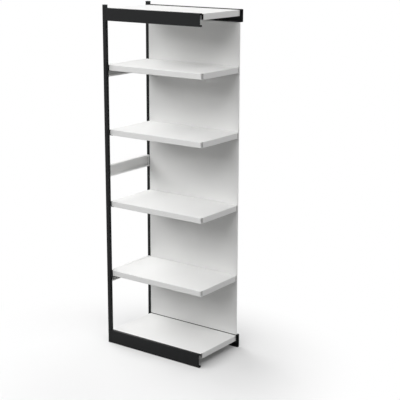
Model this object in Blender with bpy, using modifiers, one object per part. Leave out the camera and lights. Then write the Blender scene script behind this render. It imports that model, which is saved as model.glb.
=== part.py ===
"""Add-on bay of steel clip shelving: a slotted end frame, channel beams, folded shelves and a back panel.

Metres, +Z up, +X along the shelves to the right, +Y to the back.
The origin is on the floor, midway along the width and the depth.
"""
from math import cos, floor, pi, sin, tan

import bmesh
import bpy
from mathutils import Matrix, Vector

# Overall sizes
UNIT_HEIGHT = 2.100
UNIT_DEPTH = 0.425
BAY_CLEAR = 0.684
FIT_GAP = 0.0003

# Roll-formed uprights with a column of slots in the face towards the bay
UPRIGHT_WIDTH = 0.023
UPRIGHT_DEPTH = 0.023
UPRIGHT_WALL = 0.0015
UPRIGHT_CORNER = 0.0025
SLOT_PITCH = 0.02775
SLOT_WIDTH = 0.004
SLOT_HEIGHT = 0.012
FIRST_SLOT = 0.0591
SLOT_END_MARGIN = 0.040

# Moulded foot and top cap of each upright
FOOT_FLANGE = 0.003
CAP_FLANGE = 0.004
PLUG_DEPTH = 0.016
PLUG_BEVEL = 0.0006

# Lipped channels that tie the two uprights together
STRUT_HEIGHT = 0.072
STRUT_INSET = 0.001
STRUT_SHEET = 0.0015
STRUT_LIP = 0.009
STRUT_BOTTOMS = {"lower": 0.400, "middle": 1.069, "upper": 1.6765}
STRUT_TAB_CLEARANCE = 0.003
STRUT_SCREW_EDGE = 0.018

# Lipped channel beams: fascias at the top, plinths on the floor
BEAM_SHEET = 0.0015
BEAM_DEPTH = 0.020
BEAM_LIP = 0.010
FASCIA_HEIGHT = 0.074
FASCIA_DROP = 0.018
FASCIA_RISE = 0.0035
PLINTH_HEIGHT = 0.084
PLINTH_RISE = 0.0018
BEND_RADIUS = 0.002
BEND_STEPS = 3

# Folded shelf pans
SHELF_SHEET = 0.0012
SHELF_EDGE = 0.035
SHELF_LIP = 0.013
SHELF_END_GAP = 0.0022
SHELF_FRONT_GAP = 0.0006
SHELF_REAR_GAP = 0.008
SHELF_SIDE_START = 0.016
CORNER_RELIEF = 0.0028
SHELF_SLOTS = {"second": 14, "third": 30, "fourth": 46, "fifth": 60}

# Clips and beam brackets that carry the shelves at the frame
CLIP_SHEET = 0.0015
CLIP_FRONT = 0.003
CLIP_TOP = 0.023
CLIP_DROP = 0.010
LEDGE_LENGTH = 0.018
LEDGE_INSET = 0.002
LEDGE_REACH = 0.016
BRACKET_ARM = 0.017
BRACKET_CLEARANCE = 0.002
TONGUE_LENGTH = 0.034
TONGUE_EDGE = 0.012
HOOK_REACH = 0.0045
HOOK_NOSE = 0.0035

# Back panel
PANEL_SHEET = 0.001
PANEL_CLEARANCE = 0.0015
PANEL_FRAME_GAP = 0.0024
PANEL_OPEN_GAP = 0.0045
PANEL_SIDE_FOLD = 0.006
PANEL_WEB_CLEARANCE = 0.004
PANEL_TOP_GAP = 0.0008
PANEL_SCREW_EDGE = 0.060

# Pan-head screws
SCREW_RADIUS = 0.002
SCREW_HEAD_RADIUS = 0.004
SCREW_HEAD_HEIGHT = 0.0028
SCREW_LENGTH = 0.008
SCREW_STEPS = 12

# Worked out from the sizes above
UNIT_WIDTH = UPRIGHT_WIDTH + BAY_CLEAR
LEFT = -UNIT_WIDTH / 2
RIGHT = UNIT_WIDTH / 2
FRONT = -UNIT_DEPTH / 2
REAR = UNIT_DEPTH / 2
INNER_FACE = LEFT + UPRIGHT_WIDTH
FASCIA_BOTTOM = UNIT_HEIGHT - FASCIA_DROP - FASCIA_HEIGHT
FASCIA_TOP = FASCIA_BOTTOM + FASCIA_HEIGHT
SHELF_SETBACK = BEAM_DEPTH + SHELF_FRONT_GAP
SHELF_LENGTH = BAY_CLEAR - 2 * SHELF_END_GAP
SHELF_DEPTH = UNIT_DEPTH - SHELF_SETBACK - BEAM_DEPTH - SHELF_REAR_GAP
SLOT_COUNT = floor((UNIT_HEIGHT - SLOT_END_MARGIN - FIRST_SLOT) / SLOT_PITCH) + 1
SLOT_DEPTH = UPRIGHT_DEPTH / 2
PANEL_FACE = FRONT + SHELF_SETBACK + SHELF_DEPTH + PANEL_CLEARANCE
PANEL_RETURN = REAR - BEAM_SHEET - PANEL_WEB_CLEARANCE - PANEL_FACE
SIDES = {"front": 1, "rear": -1}


def linear(hex_colour):
    """sRGB hex to the linear colour that a shader takes."""
    channels = [int(hex_colour[i : i + 2], 16) / 255 for i in (0, 2, 4)]
    return [c / 12.92 if c <= 0.04045 else ((c + 0.055) / 1.055) ** 2.4 for c in channels] + [1.0]


def material(name, hex_colour, roughness, metallic=0.0):
    mat = bpy.data.materials.new(name)
    mat.use_nodes = True
    shader = mat.node_tree.nodes["Principled BSDF"]
    shader.inputs["Base Color"].default_value = linear(hex_colour)
    shader.inputs["Roughness"].default_value = roughness
    shader.inputs["Metallic"].default_value = metallic
    return mat


def clear_scene():
    for obj in list(bpy.data.objects):
        bpy.data.objects.remove(obj, do_unlink=True)


clear_scene()
PARTS = bpy.data.collections.new("steel_shelving_bay")
CUTTERS = bpy.data.collections.new("cutters")
bpy.context.scene.collection.children.link(PARTS)
bpy.context.scene.collection.children.link(CUTTERS)
ROOT = bpy.data.objects.new("bay_root", None)
PARTS.objects.link(ROOT)

BLACK_STEEL = material("black_powder_coated_steel", "1B1C1E", 0.5)
WHITE_STEEL = material("white_powder_coated_steel", "E4E4E2", 0.45)
ZINC = material("zinc_plated_steel", "B9BCC0", 0.35, 1.0)
BLACK_PLASTIC = material("black_polypropylene", "141414", 0.6)


def mesh_from(bm, name):
    mesh = bpy.data.meshes.new(name)
    bmesh.ops.recalc_face_normals(bm, faces=bm.faces)
    bm.to_mesh(mesh)
    bm.free()
    return mesh


def add_part(name, mesh, mat, location=(0.0, 0.0, 0.0), rotation=(0.0, 0.0, 0.0)):
    obj = bpy.data.objects.new(name, mesh)
    if not mesh.materials:
        mesh.materials.append(mat)
    obj.location = location
    obj.rotation_euler = rotation
    obj.parent = ROOT
    PARTS.objects.link(obj)
    return obj


def add_cutter(mesh, location=(0.0, 0.0, 0.0)):
    obj = bpy.data.objects.new(mesh.name, mesh)
    obj.location = location
    obj.hide_render = True
    obj.display_type = "WIRE"
    CUTTERS.objects.link(obj)
    return obj


def thicken(obj, sheet):
    """Gives an open surface the sheet's thickness, half to each side."""
    mod = obj.modifiers.new("sheet", "SOLIDIFY")
    mod.thickness = sheet
    mod.offset = 0.0
    mod.use_even_offset = True


def combine(obj, other, operation):
    mod = obj.modifiers.new(operation.lower(), "BOOLEAN")
    mod.operation = operation
    mod.solver = "EXACT"
    mod.object = other


def box_mesh(name, low, high):
    """A box between two corners."""
    low, high = Vector(low), Vector(high)
    bm = bmesh.new()
    size = Matrix.Diagonal((high - low).to_4d())
    bmesh.ops.create_cube(bm, size=1.0, matrix=Matrix.Translation((low + high) / 2) @ size)
    return mesh_from(bm, name)


def bend(points, radius):
    """An open path with an arc of the bend radius at each inner corner."""
    path = [Vector(points[0])]
    for before, corner, after in zip(points, points[1:], points[2:]):
        corner = Vector(corner)
        to_before = (Vector(before) - corner).normalized()
        to_after = (Vector(after) - corner).normalized()
        half = to_before.angle(to_after) / 2
        centre = corner + (to_before + to_after).normalized() * radius / sin(half)
        start = corner + to_before * radius / tan(half) - centre
        end = corner + to_after * radius / tan(half) - centre
        arc = [start.slerp(end, step / BEND_STEPS).normalized() for step in range(BEND_STEPS + 1)]
        path += [centre + direction * start.length for direction in arc]
    path.append(Vector(points[-1]))
    return path


def drawn_sheet(name, path, length, along):
    """A bent path drawn out along X, Y or Z from zero to the given length; its ends join where they meet."""
    bm = bmesh.new()
    axes = {"X": (1, 2, 0), "Y": (0, 2, 1), "Z": (0, 1, 2)}[along]
    verts = []
    for point in path:
        place = Vector((0.0, 0.0, 0.0))
        place[axes[0]], place[axes[1]] = point
        verts.append(bm.verts.new(place))
    edges = [bm.edges.new(pair) for pair in zip(verts, verts[1:])]
    drawn = bmesh.ops.extrude_edge_only(bm, edges=edges)["geom"]
    shift = Vector((0.0, 0.0, 0.0))
    shift[axes[2]] = length
    bmesh.ops.translate(bm, verts=[v for v in drawn if isinstance(v, bmesh.types.BMVert)], vec=shift)
    bmesh.ops.remove_doubles(bm, verts=bm.verts, dist=FIT_GAP / 10)
    return mesh_from(bm, name)


def fold_edge(bm, edge, steps):
    """Extrudes an edge through a list of steps, each giving both ends their move from the step before."""
    for moves in steps:
        old = list(edge.verts)
        made = bmesh.ops.extrude_edge_only(bm, edges=[edge])["geom"]
        new = [v for v in made if isinstance(v, bmesh.types.BMVert)]
        edge = next(e for e in made if isinstance(e, bmesh.types.BMEdge) and all(v in new for v in e.verts))
        places = {v: min(old, key=lambda o: (o.co - v.co).length) for v in new}
        targets = {v: v.co + moves(places[v].co) for v in new}
        for vert, target in targets.items():
            vert.co = target


def arc_moves(first, second, radius):
    """Moves along a square bend that starts in the first direction and ends in the second."""
    angles = [step / BEND_STEPS * pi / 2 for step in range(BEND_STEPS + 1)]
    places = [first * radius * sin(a) + second * radius * (1 - cos(a)) for a in angles]
    return [(lambda co, move=b - a: move) for a, b in zip(places, places[1:])]


def pan_mesh(name, length, breadth, drops, reliefs, lip, sheet):
    """A plate with its edges folded down and, where asked, a lip turned in along each fold.

    Local X and Y run over the plate, whose upper face is at zero, and the folds go down.
    drops gives the depth of the folds on the +Y, -X, -Y and +X sides.
    reliefs gives how far the X sides' folds stop short of the +Y and of the -Y corners.
    """
    half = Vector(((length - sheet) / 2, (breadth - sheet) / 2))
    level = -sheet / 2
    bm = bmesh.new()
    corners = []
    for sx, sy in ((1, 1), (-1, 1), (-1, -1), (1, -1)):
        relief = reliefs[0] if sy > 0 else reliefs[1]
        side = bm.verts.new((sx * (half.x - BEND_RADIUS), sy * (half.y - relief), level))
        inner = bm.verts.new((sx * (half.x - CORNER_RELIEF), sy * (half.y - relief), level))
        end = bm.verts.new((sx * (half.x - CORNER_RELIEF), sy * (half.y - BEND_RADIUS), level))
        corners.append((side, inner, end) if sx * sy > 0 else (end, inner, side))
    bm.faces.new([vert for corner in corners for vert in corner])
    down = Vector((0.0, 0.0, -1.0))
    outs = ((0.0, 1.0, 0.0), (-1.0, 0.0, 0.0), (0.0, -1.0, 0.0), (1.0, 0.0, 0.0))
    for index, (out, depth) in enumerate(zip(outs, drops)):
        out = Vector(out)
        drop = depth - sheet
        steps = arc_moves(out, down, BEND_RADIUS)
        if lip:
            steps.append(lambda co, d=drop: down * (d - 2 * BEND_RADIUS))
            steps += arc_moves(down, -out, BEND_RADIUS)
            steps.append(lambda co, o=out: -o * (lip - BEND_RADIUS))
        else:
            steps.append(lambda co, d=drop: down * (d - BEND_RADIUS))
        fold_edge(bm, bm.edges.get((corners[index][2], corners[(index + 1) % 4][0])), steps)
    return mesh_from(bm, name)


def turned_screw_mesh():
    """A pan-head screw turned about Z, with its head standing on the plane at zero."""
    profile = [
        (0.0, SCREW_HEAD_HEIGHT),
        (SCREW_HEAD_RADIUS * 0.6, SCREW_HEAD_HEIGHT),
        (SCREW_HEAD_RADIUS, SCREW_HEAD_HEIGHT * 0.5),
        (SCREW_HEAD_RADIUS, FIT_GAP),
        (SCREW_RADIUS, FIT_GAP),
        (SCREW_RADIUS, -SCREW_LENGTH + SCREW_RADIUS),
        (0.0, -SCREW_LENGTH),
    ]
    bm = bmesh.new()
    verts = [bm.verts.new((x, 0.0, z)) for x, z in profile]
    for pair in zip(verts, verts[1:]):
        bm.edges.new(pair)
    source = add_cutter(mesh_from(bm, "screw_profile"))
    mod = source.modifiers.new("turn", "SCREW")
    mod.steps = SCREW_STEPS
    mod.render_steps = SCREW_STEPS
    mod.use_merge_vertices = True
    mod.merge_threshold = 0.00001
    turned = bpy.data.meshes.new_from_object(source.evaluated_get(bpy.context.evaluated_depsgraph_get()))
    turned.name = "pan_head_screw"
    bpy.data.objects.remove(source, do_unlink=True)
    return turned


def drill_mesh(name, points, axis):
    """Clearance holes for the screws at a list of points, along Y or Z."""
    bm = bmesh.new()
    turn = Matrix.Rotation(pi / 2, 4, "X") if axis == "Y" else Matrix.Identity(4)
    for point in points:
        bmesh.ops.create_cone(
            bm,
            cap_ends=True,
            segments=SCREW_STEPS,
            radius1=SCREW_RADIUS + FIT_GAP,
            radius2=SCREW_RADIUS + FIT_GAP,
            depth=2 * (STRUT_SHEET + UPRIGHT_WALL + BEAM_SHEET),
            matrix=Matrix.Translation(point) @ turn,
        )
    return mesh_from(bm, name)


def across_depth(side, depth):
    """World Y of a depth measured inwards from the frame's front or rear face."""
    return FRONT + depth if SIDES[side] > 0 else REAR - depth


def slot_height(index):
    return FIRST_SLOT + index * SLOT_PITCH


def strut_screw_points():
    """X and Z of the screws at each strut's ends, where the tabs and the uprights are drilled."""
    x = LEFT + UPRIGHT_WIDTH / 2
    for bottom in STRUT_BOTTOMS.values():
        for z in (bottom + STRUT_SCREW_EDGE, bottom + STRUT_HEIGHT - STRUT_SCREW_EDGE):
            yield x, z


def make_upright(side):
    """Square tube bent from sheet, slotted towards the bay and drilled towards the other upright."""
    low = FOOT_FLANGE + FIT_GAP
    high = UNIT_HEIGHT - CAP_FLANGE - FIT_GAP
    half_x = (UPRIGHT_WIDTH - UPRIGHT_WALL) / 2
    half_y = (UPRIGHT_DEPTH - UPRIGHT_WALL) / 2
    seam = (0.0, -half_y)
    loop = [seam, (half_x, -half_y), (half_x, half_y), (-half_x, half_y), (-half_x, -half_y), seam]
    mesh = drawn_sheet(f"upright_{side}", bend(loop, UPRIGHT_CORNER - UPRIGHT_WALL / 2), high - low, "Z")
    centre = (LEFT + UPRIGHT_WIDTH / 2, across_depth(side, UPRIGHT_DEPTH / 2), low)
    obj = add_part(f"upright_{side}", mesh, BLACK_STEEL, centre)
    thicken(obj, UPRIGHT_WALL)

    first = (INNER_FACE - UPRIGHT_WALL / 2, across_depth(side, SLOT_DEPTH), FIRST_SLOT)
    reach = Vector((UPRIGHT_WALL, SLOT_WIDTH / 2, SLOT_HEIGHT / 2))
    slots = add_cutter(box_mesh(f"slots_{side}", -reach, reach), first)
    array = slots.modifiers.new("pitch", "ARRAY")
    array.use_relative_offset = False
    array.use_constant_offset = True
    array.constant_offset_displace = (0.0, 0.0, SLOT_PITCH)
    array.count = SLOT_COUNT
    combine(obj, slots, "DIFFERENCE")

    wall = across_depth(side, UPRIGHT_DEPTH)
    points = [(x, wall, z) for x, z in strut_screw_points()]
    combine(obj, add_cutter(drill_mesh(f"upright_drill_{side}", points, "Y")), "DIFFERENCE")


def make_end_plug(name, side, flange, base, upwards):
    """Moulded end of an upright: a flange the size of the tube and a plug that fits inside it."""
    half = Vector((UPRIGHT_WIDTH / 2, UPRIGHT_DEPTH / 2))
    wall = UPRIGHT_WALL + FIT_GAP
    bm = bmesh.new()
    plate = Matrix.Diagonal((2 * half.x, 2 * half.y, flange, 1.0))
    bmesh.ops.create_cube(bm, size=1.0, matrix=Matrix.Translation((0.0, 0.0, flange / 2)) @ plate)
    bm.faces.ensure_lookup_table()
    top = max(bm.faces, key=lambda face: face.calc_center_median().z)
    bmesh.ops.inset_region(bm, faces=[top], thickness=wall, use_even_offset=True)
    raised = bmesh.ops.extrude_discrete_faces(bm, faces=[top])["faces"]
    bmesh.ops.translate(bm, verts=list(raised[0].verts), vec=(0.0, 0.0, PLUG_DEPTH))
    if not upwards:
        bmesh.ops.rotate(bm, verts=bm.verts, matrix=Matrix.Rotation(pi, 3, "X"))
    bm.normal_update()
    weight = bm.edges.layers.float.new("bevel_weight_edge")
    for edge in bm.edges:
        edge[weight] = 1.0 if edge.is_convex else 0.0
    place = (LEFT + half.x, across_depth(side, half.y), base)
    obj = add_part(f"{name}_{side}", mesh_from(bm, f"{name}_{side}"), BLACK_PLASTIC, place)
    mod = obj.modifiers.new("edge", "BEVEL")
    mod.width = PLUG_BEVEL
    mod.segments = 1
    mod.limit_method = "WEIGHT"


def make_strut(name, bottom):
    """Lipped channel between the uprights, open towards the bay, with a screwed tab at each end."""
    start = FRONT + UPRIGHT_DEPTH + FIT_GAP
    length = UNIT_DEPTH - 2 * (UPRIGHT_DEPTH + FIT_GAP)
    half = STRUT_SHEET / 2
    outer = LEFT + STRUT_INSET + half
    inner = INNER_FACE - STRUT_INSET - half
    low = bottom + half
    high = bottom + STRUT_HEIGHT - half
    corners = [
        (inner, high - STRUT_LIP + half),
        (inner, high),
        (outer, high),
        (outer, low),
        (inner, low),
        (inner, low + STRUT_LIP - half),
    ]
    mesh = drawn_sheet(f"strut_{name}", bend(corners, BEND_RADIUS), length, "Y")
    obj = add_part(f"strut_{name}", mesh, WHITE_STEEL, (0.0, start, 0.0))
    thicken(obj, STRUT_SHEET)
    tab_low = bottom + STRUT_SHEET + STRUT_TAB_CLEARANCE
    tab_high = bottom + STRUT_HEIGHT - STRUT_SHEET - STRUT_TAB_CLEARANCE
    for side, inwards in SIDES.items():
        near = across_depth(side, UPRIGHT_DEPTH + FIT_GAP)
        far = near + inwards * STRUT_SHEET
        tab = box_mesh(
            f"tab_{name}_{side}",
            (outer, min(near, far), tab_low),
            (inner - STRUT_SHEET, max(near, far), tab_high),
        )
        combine(obj, add_cutter(tab), "UNION")
    points = [
        (x, across_depth(side, UPRIGHT_DEPTH + FIT_GAP), z)
        for side in SIDES
        for x, z in strut_screw_points()
        if bottom < z < bottom + STRUT_HEIGHT
    ]
    combine(obj, add_cutter(drill_mesh(f"tab_drill_{name}", points, "Y")), "DIFFERENCE")


def make_strut_screws(screw):
    for side, inwards in SIDES.items():
        y = across_depth(side, UPRIGHT_DEPTH + FIT_GAP + STRUT_SHEET)
        for number, (x, z) in enumerate(strut_screw_points(), 1):
            add_part(f"strut_screw_{side}_{number}", screw, ZINC, (x, y, z), (-inwards * pi / 2, 0.0, 0.0))


def beam_path(height):
    """Mid-line of a lipped channel, from lip to lip, with the web's outer face at zero depth."""
    half = BEAM_SHEET / 2
    deep = BEAM_DEPTH - half
    corners = [(deep, height - BEAM_LIP), (deep, height - half), (half, height - half)]
    corners += [(half, half), (deep, half), (deep, BEAM_LIP)]
    return bend(corners, BEND_RADIUS)


def panel_screw_xs():
    low = INNER_FACE + PANEL_FRAME_GAP + PANEL_SCREW_EDGE
    high = RIGHT - PANEL_OPEN_GAP - PANEL_SCREW_EDGE
    return (low, (low + high) / 2, high)


def panel_screw_y():
    return (PANEL_FACE + PANEL_RETURN / 2 + REAR - BEAM_DEPTH / 2) / 2


def make_beam(name, side, height, bottom, screw_level=None):
    """Lipped channel from the upright to the bay's open end, facing the inside."""
    mesh = drawn_sheet(f"{name}_{side}", beam_path(height), BAY_CLEAR - FIT_GAP, "X")
    if side == "front":
        obj = add_part(f"{name}_{side}", mesh, BLACK_STEEL, (INNER_FACE + FIT_GAP, FRONT, bottom))
    else:
        obj = add_part(f"{name}_{side}", mesh, BLACK_STEEL, (RIGHT, REAR, bottom), (0.0, 0.0, pi))
    thicken(obj, BEAM_SHEET)
    if screw_level is not None:
        points = [(x, panel_screw_y(), screw_level) for x in panel_screw_xs()]
        combine(obj, add_cutter(drill_mesh(f"{name}_drill", points, "Z")), "DIFFERENCE")


def hook_mesh(name, side, level):
    """Tongue through a slot with a nose that drops behind the upright's wall."""
    half_width = SLOT_WIDTH / 2 - FIT_GAP
    top = SLOT_HEIGHT / 2 - FIT_GAP
    back = UPRIGHT_WALL + FIT_GAP
    y = across_depth(side, SLOT_DEPTH)
    outline = [
        (INNER_FACE + FIT_GAP + CLIP_SHEET / 2, level + top),
        (INNER_FACE - back - HOOK_REACH, level + top),
        (INNER_FACE - back - HOOK_REACH, level - top - HOOK_NOSE),
        (INNER_FACE - back, level - top - HOOK_NOSE),
        (INNER_FACE - back, level - top),
        (INNER_FACE + FIT_GAP + CLIP_SHEET / 2, level - top),
    ]
    bm = bmesh.new()
    face = bm.faces.new([bm.verts.new((x, y - half_width, z)) for x, z in outline])
    raised = bmesh.ops.extrude_face_region(bm, geom=[face])["geom"]
    moved = [v for v in raised if isinstance(v, bmesh.types.BMVert)]
    bmesh.ops.translate(bm, verts=moved, vec=(0.0, 2 * half_width, 0.0))
    return mesh_from(bm, name)


def make_carrier(name, side, outline, folds, slot_level):
    """A hooked plate on the upright's inner face with some of its edges folded square into the bay.

    outline is a loop of (depth, height) points, and folds gives edges of it, by their
    first point, with the length of the leg that is folded out.
    """
    bm = bmesh.new()
    level = Vector((INNER_FACE + FIT_GAP + CLIP_SHEET / 2, 0.0, 0.0))
    verts = [bm.verts.new(level + Vector((0.0, d, z))) for d, z in outline]
    bm.faces.new(verts)
    into_bay = Vector((1.0, 0.0, 0.0))
    for index, length in folds.items():
        first, second = verts[index], verts[(index + 1) % len(verts)]
        run = (second.co - first.co).normalized()
        out = Vector((0.0, run.z, -run.y))
        leg = length - BEND_RADIUS
        steps = arc_moves(out, into_bay, BEND_RADIUS) + [lambda co, leg=leg: into_bay * leg]
        fold_edge(bm, bm.edges.get((first, second)), steps)
    if side == "rear":
        bmesh.ops.scale(bm, verts=bm.verts, vec=(1.0, -1.0, 1.0))
    mesh = mesh_from(bm, f"{name}_{side}")
    obj = add_part(f"{name}_{side}", mesh, BLACK_STEEL, (0.0, across_depth(side, 0.0), 0.0))
    thicken(obj, CLIP_SHEET)
    combine(obj, add_cutter(hook_mesh(f"hook_{name}_{side}", side, slot_level)), "UNION")


def ledge_span(side):
    """Depths where a ledge under the shelf starts and ends, measured inwards from the frame's face."""
    shelf_gap = SHELF_FRONT_GAP if side == "front" else SHELF_REAR_GAP
    start = BEAM_DEPTH + shelf_gap + LEDGE_INSET
    return start, start + LEDGE_LENGTH


def make_clip(name, side, slot_index):
    """Shelf clip: hooks in one slot, with a ledge under the shelf's corner."""
    level = slot_height(slot_index)
    ledge_mid = level - CLIP_DROP - CLIP_SHEET / 2
    low = ledge_mid + BEND_RADIUS
    start, end = ledge_span(side)
    high = level + CLIP_TOP
    outline = [(CLIP_FRONT, low), (start, low), (end, low), (end, high), (CLIP_FRONT, high)]
    reach = SHELF_END_GAP - FIT_GAP - CLIP_SHEET / 2 + LEDGE_REACH
    make_carrier(f"shelf_clip_{name}", side, outline, {1: reach}, level)


def make_bracket(name, side, beam_bottom, beam_height, shelf_bottom):
    """Beam bracket: a hooked plate in the channel, with a tongue behind the web and an arm for the shelf."""
    nearest = round((beam_bottom + beam_height / 2 - FIRST_SLOT) / SLOT_PITCH)
    index = min(max(nearest, 0), SLOT_COUNT - 1)
    ledge_mid = shelf_bottom - FIT_GAP - CLIP_SHEET / 2
    arm_low = ledge_mid + BEND_RADIUS
    low = beam_bottom + BEAM_SHEET + BRACKET_CLEARANCE
    high = beam_bottom + beam_height - BEAM_SHEET - BRACKET_CLEARANCE
    web = BEAM_SHEET + FIT_GAP + CLIP_SHEET / 2
    front = web + BEND_RADIUS
    deep = BEAM_DEPTH - BEAM_SHEET - BRACKET_CLEARANCE
    start, end = ledge_span(side)
    arm_high = min(arm_low + BRACKET_ARM, high)
    outline = [
        (front, low),
        (deep, low),
        (deep, arm_low),
        (start, arm_low),
        (end, arm_low),
        (end, arm_high),
        (deep, arm_high),
        (deep, high),
        (front, high),
        (front, high - TONGUE_EDGE),
        (front, low + TONGUE_EDGE),
    ]
    reach = SHELF_END_GAP - FIT_GAP - CLIP_SHEET / 2 + LEDGE_REACH
    make_carrier(f"{name}_bracket", side, outline, {3: reach, 9: TONGUE_LENGTH}, slot_height(index))


def make_shelf(name, top):
    """Shelf pan: front and rear folds the whole length, and end folds that start behind the lips."""
    drops = (SHELF_EDGE,) * 4
    reliefs = (SHELF_SIDE_START, SHELF_SIDE_START)
    mesh = pan_mesh(f"shelf_{name}", SHELF_LENGTH, SHELF_DEPTH, drops, reliefs, SHELF_LIP, SHELF_SHEET)
    x = INNER_FACE + SHELF_END_GAP + SHELF_LENGTH / 2
    y = FRONT + SHELF_SETBACK + SHELF_DEPTH / 2
    obj = add_part(f"shelf_{name}", mesh, WHITE_STEEL, (x, y, top))
    thicken(obj, SHELF_SHEET)


def make_back_panel():
    """Sheet panel behind the shelves, folded over the rear plinth and under the rear fascia."""
    low = PLINTH_HEIGHT + FIT_GAP
    high = FASCIA_BOTTOM - PANEL_TOP_GAP
    width = BAY_CLEAR - PANEL_FRAME_GAP - PANEL_OPEN_GAP
    drops = (PANEL_RETURN, PANEL_SIDE_FOLD) * 2
    reliefs = (CORNER_RELIEF, CORNER_RELIEF)
    mesh = pan_mesh("back_panel", width, high - low, drops, reliefs, 0.0, PANEL_SHEET)
    mesh.transform(Matrix.Rotation(pi / 2, 4, "X"))
    x = INNER_FACE + PANEL_FRAME_GAP + width / 2
    obj = add_part("back_panel", mesh, WHITE_STEEL, (x, PANEL_FACE, (low + high) / 2))
    thicken(obj, PANEL_SHEET)
    points = [(x, panel_screw_y(), z) for z in (low, high) for x in panel_screw_xs()]
    combine(obj, add_cutter(drill_mesh("panel_drill", points, "Z")), "DIFFERENCE")


def make_panel_screws(screw):
    """Screws through the panel's folds, down into the rear plinth and up into the rear fascia."""
    levels = {
        "low": (PLINTH_HEIGHT + FIT_GAP + PANEL_SHEET, 0.0),
        "high": (FASCIA_BOTTOM - PANEL_TOP_GAP - PANEL_SHEET, pi),
    }
    for level, (z, turn) in levels.items():
        for number, x in enumerate(panel_screw_xs(), 1):
            add_part(f"panel_screw_{level}_{number}", screw, ZINC, (x, panel_screw_y(), z), (turn, 0.0, 0.0))


def main():
    screw = turned_screw_mesh()
    top_level = FASCIA_TOP - FASCIA_RISE
    bottom_level = PLINTH_HEIGHT - PLINTH_RISE
    for side in SIDES:
        make_upright(side)
        make_end_plug("foot", side, FOOT_FLANGE, 0.0, True)
        make_end_plug("top_cap", side, CAP_FLANGE, UNIT_HEIGHT, False)
        fascia_drill = FASCIA_BOTTOM if side == "rear" else None
        plinth_drill = PLINTH_HEIGHT if side == "rear" else None
        make_beam("fascia", side, FASCIA_HEIGHT, FASCIA_BOTTOM, fascia_drill)
        make_beam("plinth", side, PLINTH_HEIGHT, 0.0, plinth_drill)
        make_bracket("fascia", side, FASCIA_BOTTOM, FASCIA_HEIGHT, top_level - SHELF_EDGE)
        make_bracket("plinth", side, 0.0, PLINTH_HEIGHT, bottom_level - SHELF_EDGE)
        for name, index in SHELF_SLOTS.items():
            make_clip(name, side, index)
    for name, bottom in STRUT_BOTTOMS.items():
        make_strut(name, bottom)
    make_strut_screws(screw)
    make_shelf("bottom", bottom_level)
    for name, index in SHELF_SLOTS.items():
        make_shelf(name, slot_height(index) - CLIP_DROP + FIT_GAP + SHELF_EDGE)
    make_shelf("top", top_level)
    make_back_panel()
    make_panel_screws(screw)


main()
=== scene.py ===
"""Looks of the steel shelving bay: powder coats, zinc and plastic, and a plain white studio."""
from math import cos, pi, radians, sin

import bpy
from bpy.props import FloatProperty, FloatVectorProperty, PointerProperty
from bpy.types import Operator, Panel, PropertyGroup
from mathutils import Matrix, Vector


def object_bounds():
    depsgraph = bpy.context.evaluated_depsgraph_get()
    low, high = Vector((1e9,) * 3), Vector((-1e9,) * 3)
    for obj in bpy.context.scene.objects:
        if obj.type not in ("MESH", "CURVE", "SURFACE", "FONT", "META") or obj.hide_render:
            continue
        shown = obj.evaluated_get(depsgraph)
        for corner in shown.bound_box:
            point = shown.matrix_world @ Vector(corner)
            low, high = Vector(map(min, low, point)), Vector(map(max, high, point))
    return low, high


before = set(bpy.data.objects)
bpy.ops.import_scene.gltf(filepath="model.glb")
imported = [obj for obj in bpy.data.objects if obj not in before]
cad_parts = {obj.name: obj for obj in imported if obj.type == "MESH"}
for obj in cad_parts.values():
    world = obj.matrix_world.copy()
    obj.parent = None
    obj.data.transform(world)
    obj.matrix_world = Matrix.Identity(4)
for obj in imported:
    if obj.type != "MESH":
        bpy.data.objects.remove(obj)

bl_info = {
    "name": "Steel shelving bay finishes",
    "version": (1, 0, 0),
    "blender": (4, 5, 0),
    "location": "3D View > Sidebar > Shelving",
    "description": "Finishes the packed shelving bay and sets up its studio",
    "category": "Object",
}

CAD_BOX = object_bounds()
IMAGE_SIDE = 400
SENSOR_MM = 36.0
UNIT_MIDDLE = (CAD_BOX[0] + CAD_BOX[1]) / 2
VIEW_REACH = 100.0
WHITE = (1.0, 1.0, 1.0, 1.0)

# The floor's face lies a little below the feet's, so that the two don't share a plane.
FLOOR_DROP = 0.0005
FLOOR_SIDES = 96
FLOOR_ROUGHNESS = 0.9

# Azimuth and elevation of each softbox in degrees: 0 is in front of the unit and 90 at its right.
SOFTBOX_WAYS = {
    "left_back": (-112.0, 18.0),
    "left_high": (-90.0, 50.0),
    "left_front": (-45.0, 34.0),
    "front": (0.0, 34.0),
    "right_front": (45.0, 50.0),
    "right_low": (90.0, 18.0),
    "back": (180.0, 14.0),
}

# Most of a noise texture's values lie between these two.
NOISE_LOW = 0.3
NOISE_HIGH = 0.7

COAT_IOR = 1.5
COAT_GLOSS_SPREAD = 0.04
PEEL_DEPTH = 0.002
ZINC_COOL = (0.92, 0.97, 1.04)
ZINC_STRAW = (1.04, 1.0, 0.88)
ZINC_SMOOTH = 0.28
ZINC_DULL = 0.42
PLASTIC_IOR = 1.49
PLASTIC_ROUGHNESS = 0.6
PLASTIC_DARK = 0.8
PLASTIC_LIGHT = 1.2
GRAIN_DEPTH = 0.0003
GRAIN_STRENGTH = 0.3


def linear(hex_colour):
    """sRGB hex to the linear red, green and blue that shaders take."""
    channels = [int(hex_colour[i : i + 2], 16) / 255 for i in (0, 2, 4)]
    return tuple(c / 12.92 if c <= 0.04045 else ((c + 0.055) / 1.055) ** 2.4 for c in channels)


def colour_property(name, description, hex_colour):
    return FloatVectorProperty(
        name=name,
        description=description,
        subtype="COLOR",
        size=3,
        min=0.0,
        max=1.0,
        default=linear(hex_colour),
    )


def box_property(name, brightness):
    description = f"Brightness of the {name.lower()} softbox"
    return FloatProperty(name=name, description=description, default=brightness, min=0.0)


def angle_property(name, description, degrees):
    return FloatProperty(name=name, description=description, subtype="ANGLE", default=radians(degrees))


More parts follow.
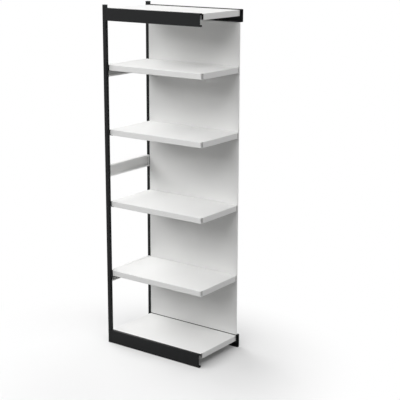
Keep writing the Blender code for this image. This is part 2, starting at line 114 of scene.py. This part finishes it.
def length_property(name, description, metres):
    return FloatProperty(name=name, description=description, default=metres, unit="LENGTH")


def width_property(name, pattern, size_mm, least_mm):
    description = f"Width of {pattern} in millimetres"
    return FloatProperty(name=name, description=description, default=size_mm, min=least_mm)


def per_metre(size_mm):
    """Texture scale, in repeats to the metre, of a pattern whose real size is in millimetres."""
    return 1000.0 / size_mm


class BayFinishes(PropertyGroup):
    """Colours and grain sizes of the four finishes."""

    black_coat: colour_property("Black coat", "Powder coat of the frame, beams, clips and brackets", "161718")
    white_coat: colour_property("White coat", "Powder coat of the shelves, panel and struts", "EEEEED")
    zinc: colour_property("Zinc", "Plating of the screws", "C6C9CD")
    plastic: colour_property("Plastic", "Moulded feet and caps", "1C1C1D")
    coat_peel: width_property("Coat peel", "the coat's ripples", 6.0, 0.5)
    coat_drift: width_property("Coat drift", "the patches of thicker coat", 240.0, 10.0)
    zinc_bloom: width_property("Zinc bloom", "the plating's tinted patches", 14.0, 1.0)
    plastic_grain: width_property("Plastic grain", "the moulded grain", 2.5, 0.1)


class BayStudio(PropertyGroup):
    """Floor, lights and camera."""

    floor_radius: length_property("Floor radius", "Reach of the floor", 9.0)
    floor_forward: length_property("Floor forward", "How far in front of the unit the floor's middle is", 0.4)
    floor_seen: colour_property("Floor seen", "Floor as the camera and reflections see it", "F0F0F0")
    floor_bounce: colour_property("Floor bounce", "Floor as the light that it throws back", "808080")
    fade_start: length_property("Fade start", "Where the floor starts to fade to plain white", 0.52)
    fade_end: length_property("Fade end", "Where the floor is plain white", 1.38)
    left_back: box_property("Left back", 3.6)
    left_high: box_property("Left high", 2.7)
    left_front: box_property("Left front", 2.7)
    front: box_property("Front", 3.0)
    right_front: box_property("Right front", 2.4)
    right_low: box_property("Right low", 2.1)
    back: box_property("Back", 2.2)
    box_distance: length_property("Box distance", "From the middle of the unit to each softbox", 12.0)
    box_width: length_property("Box width", "Width of each softbox", 8.6)
    box_height: length_property("Box height", "Height of each softbox", 6.7)
    camera_place: FloatVectorProperty(
        name="Camera",
        description="Place of the camera",
        subtype="TRANSLATION",
        size=3,
        default=(3.851, -5.0118, 2.5369),
    )
    camera_yaw: angle_property("Yaw", "Turn of the camera to the left", 36.0487)
    camera_pitch: angle_property("Pitch", "Tilt of the camera downwards", 14.2311)
    camera_roll: angle_property("Roll", "Turn about the line of sight", 0.1846)
    focal_pixels: FloatProperty(
        name="Focal length",
        description="Focal length in pixels of the square image",
        default=1073.98,
        min=10.0,
    )


def add_node(tree, kind, inputs=None, **settings):
    """Adds a node, sets its options, and gives each input a value or a link from another node's output."""
    node = tree.nodes.new(kind)
    for option, value in settings.items():
        setattr(node, option, value)
    for socket, value in (inputs or {}).items():
        if isinstance(value, bpy.types.NodeSocket):
            tree.links.new(value, node.inputs[socket])
        else:
            node.inputs[socket].default_value = value
    return node


def new_material(name):
    """An empty node material with a Principled shader and the object's own coordinates."""
    material = bpy.data.materials.new(name)
    material.use_nodes = True
    tree = material.node_tree
    tree.nodes.clear()
    shader = add_node(tree, "ShaderNodeBsdfPrincipled")
    output = add_node(tree, "ShaderNodeOutputMaterial", {"Surface": shader.outputs["BSDF"]})
    place = add_node(tree, "ShaderNodeTexCoord").outputs["Object"]
    return material, tree, shader, output, place


def powder_coat(name, colour, finishes, shade, roughness, ripple, specular):
    """Baked polyester powder on steel: an even satin to matt skin with a faint orange-peel ripple.

    The ripple breaks up the edge of each highlight, and slow drifts in the coat's thickness
    keep a large sheet from reading as one flat tone. Real ripples are 2 mm wide, too fine for
    the image, so they are drawn coarser and deeper.
    """
    material, tree, shader, _, place = new_material(name)
    peel = add_node(
        tree,
        "ShaderNodeTexNoise",
        {"Vector": place, "Scale": per_metre(finishes.coat_peel), "Detail": 2.0, "Roughness": 0.45},
    )
    drift = add_node(
        tree,
        "ShaderNodeTexNoise",
        {"Vector": place, "Scale": per_metre(finishes.coat_drift), "Detail": 3.0, "Roughness": 0.55},
    )
    tone = add_node(
        tree,
        "ShaderNodeMix",
        {"Factor": drift.outputs["Fac"], "A": (*[c * shade for c in colour], 1.0), "B": (*colour, 1.0)},
        data_type="RGBA",
    )
    gloss = add_node(
        tree,
        "ShaderNodeMapRange",
        {
            "Value": drift.outputs["Fac"],
            "From Min": NOISE_LOW,
            "From Max": NOISE_HIGH,
            "To Min": roughness - COAT_GLOSS_SPREAD,
            "To Max": roughness + COAT_GLOSS_SPREAD,
        },
    )
    bump = add_node(
        tree, "ShaderNodeBump", {"Height": peel.outputs["Fac"], "Strength": ripple, "Distance": PEEL_DEPTH}
    )
    tree.links.new(tone.outputs["Result"], shader.inputs["Base Color"])
    tree.links.new(gloss.outputs["Result"], shader.inputs["Roughness"])
    tree.links.new(bump.outputs["Normal"], shader.inputs["Normal"])
    shader.inputs["IOR"].default_value = COAT_IOR
    shader.inputs["Specular IOR Level"].default_value = specular
    return material


def zinc_plate(name, finishes):
    """Bright zinc plating with a clear passivation: pale metal with a faint blue and straw bloom.

    The bloom and its change of gloss make small pressed pieces glint unevenly, as plated ones do.
    """
    material, tree, shader, _, place = new_material(name)
    bloom = add_node(
        tree,
        "ShaderNodeTexNoise",
        {"Vector": place, "Scale": per_metre(finishes.zinc_bloom), "Detail": 4.0, "Roughness": 0.6},
    )
    cool = Vector(finishes.zinc) * Vector(ZINC_COOL)
    straw = Vector(finishes.zinc) * Vector(ZINC_STRAW)
    tint = add_node(
        tree,
        "ShaderNodeMix",
        {"Factor": bloom.outputs["Fac"], "A": (*cool, 1.0), "B": (*straw, 1.0)},
        data_type="RGBA",
    )
    gloss = add_node(
        tree,
        "ShaderNodeMapRange",
        {
            "Value": bloom.outputs["Fac"],
            "From Min": NOISE_LOW,
            "From Max": NOISE_HIGH,
            "To Min": ZINC_SMOOTH,
            "To Max": ZINC_DULL,
        },
    )
    tree.links.new(tint.outputs["Result"], shader.inputs["Base Color"])
    tree.links.new(gloss.outputs["Result"], shader.inputs["Roughness"])
    shader.inputs["Metallic"].default_value = 1.0
    return material


def moulded_plastic(name, finishes):
    """Black polypropylene from a spark-eroded mould: a fine matt grain that kills sharp highlights.

    Real grain is under 0.5 mm wide, too fine for the image, so it is drawn coarser.
    """
    material, tree, shader, _, place = new_material(name)
    grain = add_node(
        tree,
        "ShaderNodeTexNoise",
        {"Vector": place, "Scale": per_metre(finishes.plastic_grain), "Detail": 2.0, "Roughness": 0.5},
    )
    tone = add_node(
        tree,
        "ShaderNodeMix",
        {
            "Factor": grain.outputs["Fac"],
            "A": (*[c * PLASTIC_DARK for c in finishes.plastic], 1.0),
            "B": (*[c * PLASTIC_LIGHT for c in finishes.plastic], 1.0),
        },
        data_type="RGBA",
    )
    bump = add_node(
        tree,
        "ShaderNodeBump",
        {"Height": grain.outputs["Fac"], "Strength": GRAIN_STRENGTH, "Distance": GRAIN_DEPTH},
    )
    tree.links.new(tone.outputs["Result"], shader.inputs["Base Color"])
    tree.links.new(bump.outputs["Normal"], shader.inputs["Normal"])
    shader.inputs["Roughness"].default_value = PLASTIC_ROUGHNESS
    shader.inputs["IOR"].default_value = PLASTIC_IOR
    return material


def coat(material, *starts):
    """Gives the material to every node whose name begins with one of the words; stops if there is none."""
    nodes = [node for name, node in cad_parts.items() if name.startswith(starts)]
    if not nodes:
        raise RuntimeError(f"the frame has no node that begins with {starts}")
    for node in nodes:
        node.data.materials.clear()
        node.data.materials.append(material)


class BAY_OT_black_steel(Operator):
    """Coats the uprights, the beams and the pieces that hang on the uprights in black"""

    bl_idname = "bay.black_steel"
    bl_label = "Uprights, beams, clips and brackets"

    def execute(self, context):
        finishes = context.scene.bay_finishes
        black = powder_coat(
            "black_powder_coat_on_steel",
            finishes.black_coat,
            finishes,
            shade=0.85,
            roughness=0.53,
            ripple=0.5,
            specular=0.16,
        )
        coat(black, "upright_", "fascia_", "plinth_", "shelf_clip_")
        return {"FINISHED"}


class BAY_OT_white_steel(Operator):
    """Coats the shelves, the back panel and the struts in white"""

    bl_idname = "bay.white_steel"
    bl_label = "Shelves, panel and struts"

    def execute(self, context):
        finishes = context.scene.bay_finishes
        white = powder_coat(
            "white_powder_coat_on_steel",
            finishes.white_coat,
            finishes,
            shade=0.97,
            roughness=0.72,
            ripple=0.2,
            specular=0.3,
        )
        coat(white, "shelf_bottom", "shelf_second", "shelf_third", "shelf_fourth", "shelf_fifth", "shelf_top")
        coat(white, "back_panel", "strut_lower", "strut_middle", "strut_upper")
        return {"FINISHED"}


class BAY_OT_screws(Operator):
    """Plates the screws"""

    bl_idname = "bay.screws"
    bl_label = "Screws"

    def execute(self, context):
        zinc = zinc_plate("bright_zinc_plate_on_steel", context.scene.bay_finishes)
        coat(zinc, "strut_screw_", "panel_screw_")
        return {"FINISHED"}


class BAY_OT_plugs(Operator):
    """Gives the feet and caps their moulded plastic"""

    bl_idname = "bay.plugs"
    bl_label = "Feet and caps"

    def execute(self, context):
        plastic = moulded_plastic("moulded_black_polypropylene", context.scene.bay_finishes)
        coat(plastic, "foot_", "top_cap_")
        return {"FINISHED"}


def seen_share(tree):
    """One for rays from the camera or from a reflection, and zero for scattered light."""
    rays = add_node(tree, "ShaderNodeLightPath").outputs
    seen = rays["Is Camera Ray"]
    for ray in ("Is Glossy Ray", "Is Transmission Ray"):
        seen = add_node(tree, "ShaderNodeMath", {0: seen, 1: rays[ray]}, operation="MAXIMUM").outputs[0]
    return seen


def floor_material(studio):
    """Matt white paint near the unit, where it keeps the shadow, fading to plain white further off."""
    material, tree, shader, output, place = new_material("matt_white_floor_paint")
    shader.inputs["Roughness"].default_value = FLOOR_ROUGHNESS
    shader.inputs["Specular IOR Level"].default_value = 0.0
    distance = add_node(tree, "ShaderNodeVectorMath", {0: place}, operation="LENGTH")
    fade = add_node(
        tree,
        "ShaderNodeMapRange",
        {"Value": distance.outputs["Value"], "From Min": studio.fade_start, "From Max": studio.fade_end},
        interpolation_type="SMOOTHSTEP",
    )
    seen = seen_share(tree)
    paint = add_node(
        tree,
        "ShaderNodeMix",
        {"Factor": seen, "A": (*studio.floor_bounce, 1.0), "B": (*studio.floor_seen, 1.0)},
        data_type="RGBA",
    )
    tree.links.new(paint.outputs["Result"], shader.inputs["Base Color"])
    share = add_node(tree, "ShaderNodeMath", {0: seen, 1: fade.outputs["Result"]}, operation="MULTIPLY")
    white = add_node(tree, "ShaderNodeEmission", {"Color": WHITE, "Strength": 1.0})
    mixed = add_node(
        tree,
        "ShaderNodeMixShader",
        {0: share.outputs[0], 1: shader.outputs["BSDF"], 2: white.outputs["Emission"]},
    )
    tree.links.new(mixed.outputs["Shader"], output.inputs["Surface"])
    return material


def add_floor(studio):
    bpy.ops.mesh.primitive_circle_add(
        vertices=FLOOR_SIDES,
        radius=studio.floor_radius,
        fill_type="NGON",
        location=(0.0, -studio.floor_forward, -FLOOR_DROP),
    )
    floor = bpy.context.object
    floor.name = "studio_floor"
    floor.data.materials.append(floor_material(studio))


def add_softbox(name, brightness, azimuth, elevation, studio):
    """A large softbox that faces the middle of the unit."""
    turn, rise = radians(azimuth), radians(elevation)
    way = Vector((sin(turn) * cos(rise), -cos(turn) * cos(rise), sin(rise)))
    data = bpy.data.lights.new(name, "AREA")
    data.shape = "RECTANGLE"
    data.size = studio.box_width
    data.size_y = studio.box_height
    data.energy = brightness * pi * studio.box_width * studio.box_height
    light = bpy.data.objects.new(name, data)
    light.location = UNIT_MIDDLE + way * studio.box_distance
    light.rotation_euler = (-way).to_track_quat("-Z", "Y").to_euler()
    light.visible_camera = False
    bpy.context.scene.collection.objects.link(light)


def set_sky():
    """Plain white where the room is seen directly or in a reflection; the softboxes give all the light."""
    world = bpy.data.worlds.new("white_studio")
    world.use_nodes = True
    tree = world.node_tree
    tree.nodes.clear()
    white = add_node(tree, "ShaderNodeBackground", {"Color": WHITE, "Strength": seen_share(tree)})
    add_node(tree, "ShaderNodeOutputWorld", {"Surface": white.outputs["Background"]})
    bpy.context.scene.world = world


def add_camera(studio):
    data = bpy.data.cameras.new("photo_camera")
    data.sensor_width = SENSOR_MM
    data.lens = studio.focal_pixels / IMAGE_SIDE * SENSOR_MM
    data.clip_end = VIEW_REACH
    camera = bpy.data.objects.new("photo_camera", data)
    turn = Matrix.Rotation(studio.camera_yaw, 4, "Z")
    tilt = Matrix.Rotation(radians(90.0) - studio.camera_pitch, 4, "X")
    roll = Matrix.Rotation(studio.camera_roll, 4, "Z")
    camera.matrix_world = Matrix.Translation(studio.camera_place) @ turn @ tilt @ roll
    bpy.context.scene.collection.objects.link(camera)
    bpy.context.scene.camera = camera


class BAY_OT_studio(Operator):
    """Adds the floor, the lights and the camera"""

    bl_idname = "bay.studio"
    bl_label = "Studio"

    def execute(self, context):
        studio = context.scene.bay_studio
        add_floor(studio)
        set_sky()
        for name, (azimuth, elevation) in SOFTBOX_WAYS.items():
            add_softbox(f"{name}_softbox", getattr(studio, name), azimuth, elevation, studio)
        add_camera(studio)
        context.scene.view_settings.view_transform = "Standard"
        return {"FINISHED"}


class BAY_PT_finishes(Panel):
    """Lists the steps that dress the bay, with their colours and sizes"""

    bl_idname = "BAY_PT_finishes"
    bl_label = "Shelving bay"
    bl_space_type = "VIEW_3D"
    bl_region_type = "UI"
    bl_category = "Shelving"

    def draw(self, context):
        for settings in (context.scene.bay_finishes, context.scene.bay_studio):
            for name in settings.__annotations__:
                self.layout.prop(settings, name)
        for operator in OPERATORS:
            self.layout.operator(operator.bl_idname)


OPERATORS = (BAY_OT_black_steel, BAY_OT_white_steel, BAY_OT_screws, BAY_OT_plugs, BAY_OT_studio)
CLASSES = (BayFinishes, BayStudio, *OPERATORS, BAY_PT_finishes)


def register():
    for cls in CLASSES:
        bpy.utils.register_class(cls)
    bpy.types.Scene.bay_finishes = PointerProperty(type=BayFinishes)
    bpy.types.Scene.bay_studio = PointerProperty(type=BayStudio)


def unregister():
    del bpy.types.Scene.bay_studio
    del bpy.types.Scene.bay_finishes
    for cls in reversed(CLASSES):
        bpy.utils.unregister_class(cls)


def main():
    register()
    bpy.ops.bay.black_steel()
    bpy.ops.bay.white_steel()
    bpy.ops.bay.screws()
    bpy.ops.bay.plugs()
    bpy.ops.bay.studio()


if __name__ == "__main__":
    main()
